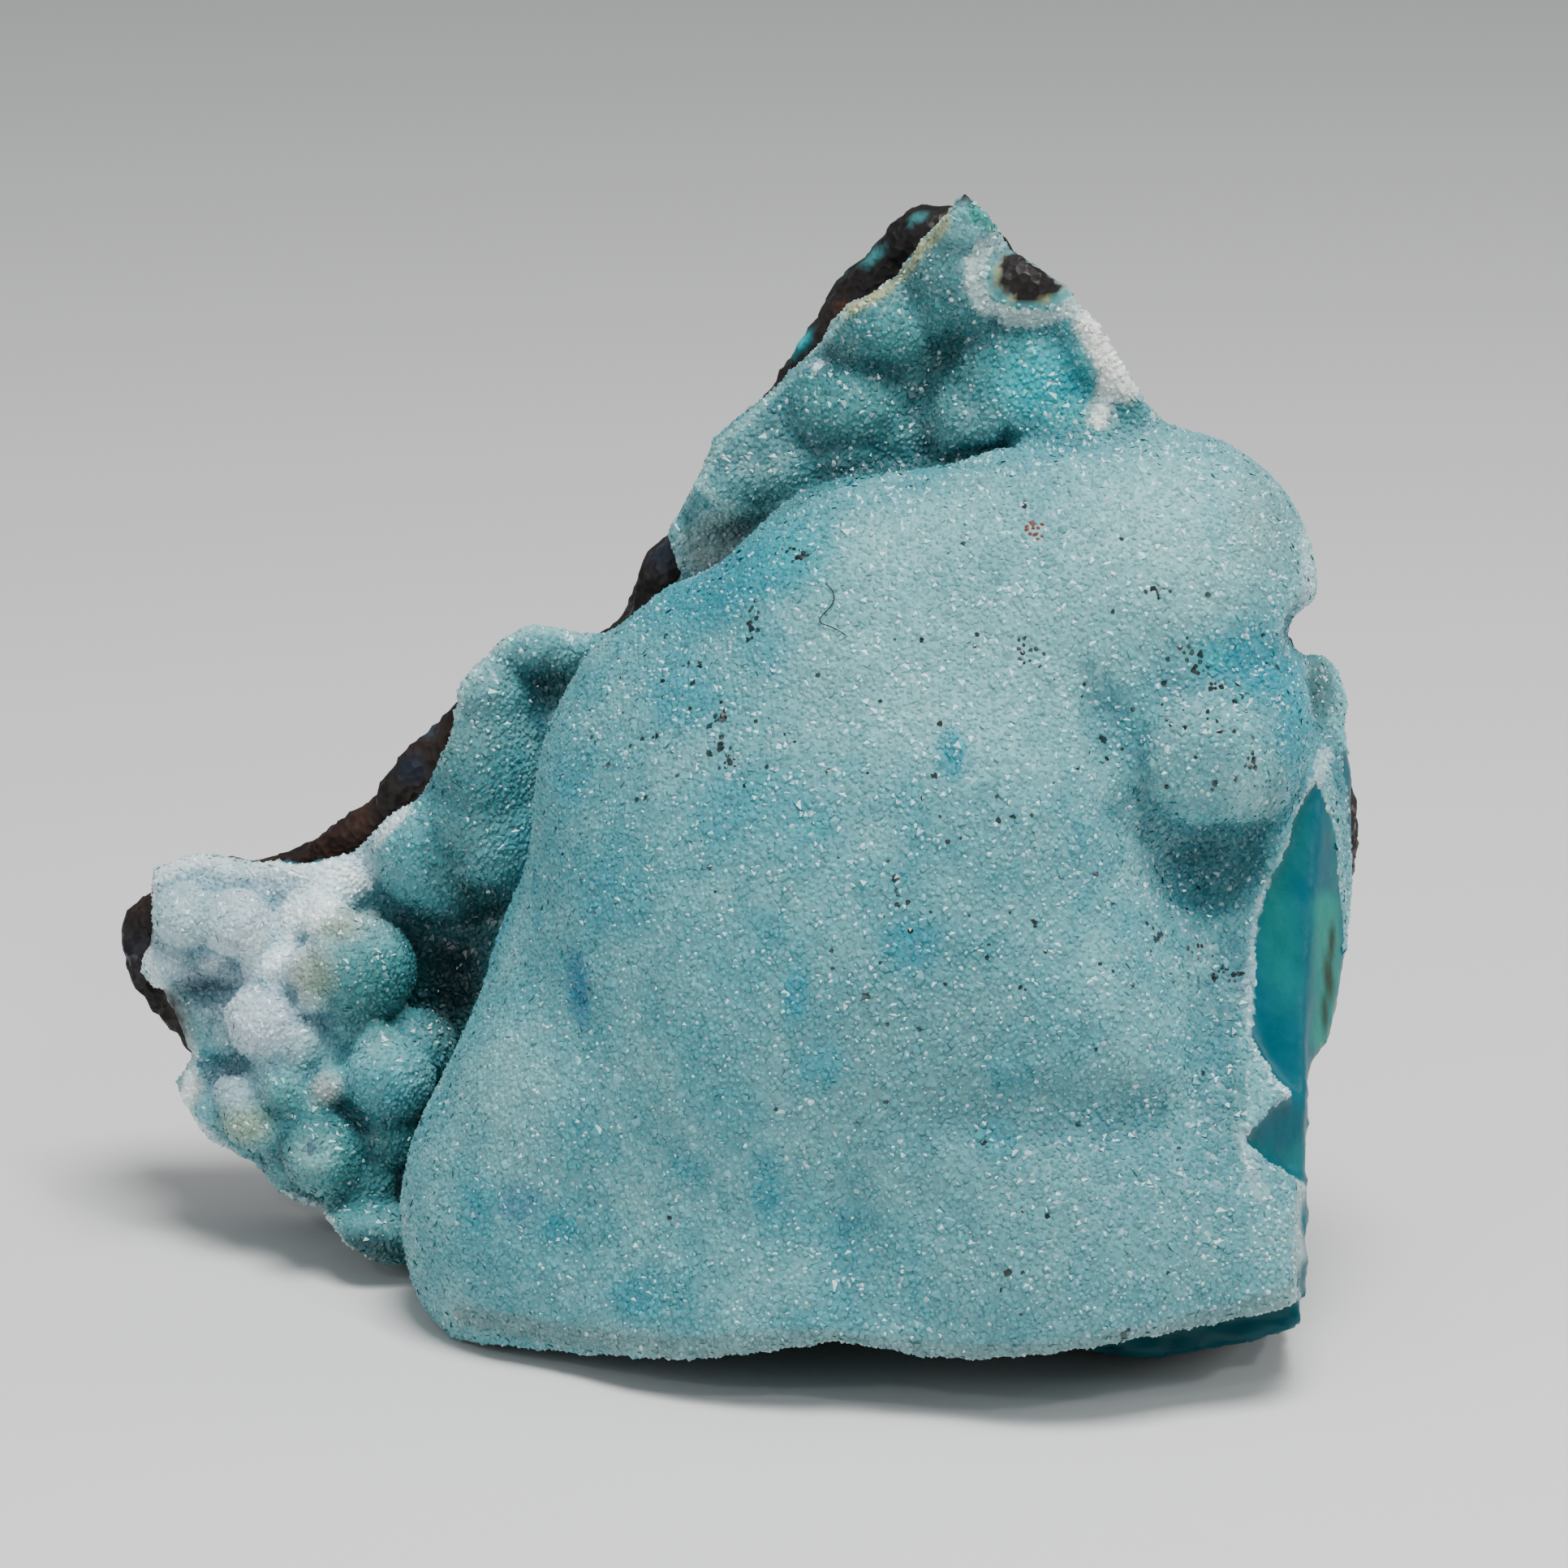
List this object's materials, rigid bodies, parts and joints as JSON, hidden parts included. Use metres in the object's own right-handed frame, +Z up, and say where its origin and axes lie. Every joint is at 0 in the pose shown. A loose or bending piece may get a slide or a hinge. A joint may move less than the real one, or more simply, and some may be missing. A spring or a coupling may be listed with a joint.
{
  "type": "chrysocolla mineral specimen",
  "caption": "Hand-held mineral specimen: a rounded boss and small lumps of blue chrysocolla with a sugary quartz skin, grown on a wedge of dark host rock.",
  "frame": {"origin": "middle of the flat foot's plane, under the middle of the specimen's box", "axes": "+X to the right across the display face, +Y to the back of the host rock, +Z up"},
  "size_m": [0.0492, 0.0302, 0.0438],
  "materials": {
    "host_rock": "dull, broken, dark brown to black with rusty and turquoise specks",
    "chrysocolla_druse": "pale blue-green sugary quartz druse that glitters, over blue chrysocolla"
  },
  "bodies": {
    "root": {"matrix": "host_rock", "druse_crust": "chrysocolla_druse"}
  },
  "joints": []
}
